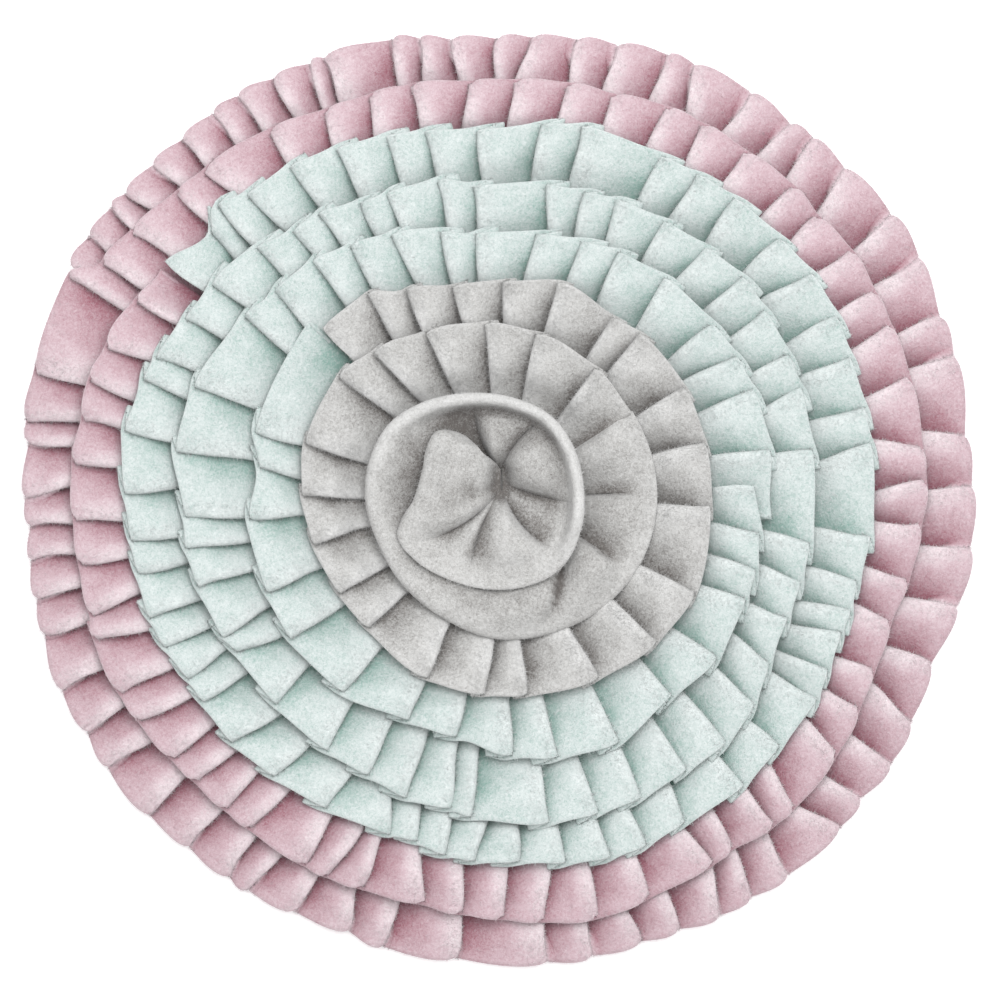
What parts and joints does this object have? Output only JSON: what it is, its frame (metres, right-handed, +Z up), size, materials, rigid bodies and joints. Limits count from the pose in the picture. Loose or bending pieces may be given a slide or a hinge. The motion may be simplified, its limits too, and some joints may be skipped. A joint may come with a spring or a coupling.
{
  "type": "snuffle mat",
  "caption": "Round fleece snuffle mat: a spiral of overlapping knife-pleated ruffles sewn to a felt base round a soft centre cup, for hiding a dog's treats.",
  "frame": {"origin": "middle of the felt base's flat underside, on the floor", "axes": "+Z up through the mat; +X to the right and +Y to the top of the mat as seen from above"},
  "size_m": [0.382, 0.3729, 0.0283],
  "materials": {
    "felt_white": "matte felt",
    "fleece_pink": "napped fleece",
    "fleece_mint": "napped fleece",
    "fleece_grey": "napped fleece"
  },
  "bodies": {
    "root": {"base_cloth": "felt_white", "pink_ruffle": "fleece_pink", "mint_ruffle": "fleece_mint", "mint_ruffle_end": "fleece_mint", "grey_ruffle": "fleece_grey"}
  },
  "joints": []
}
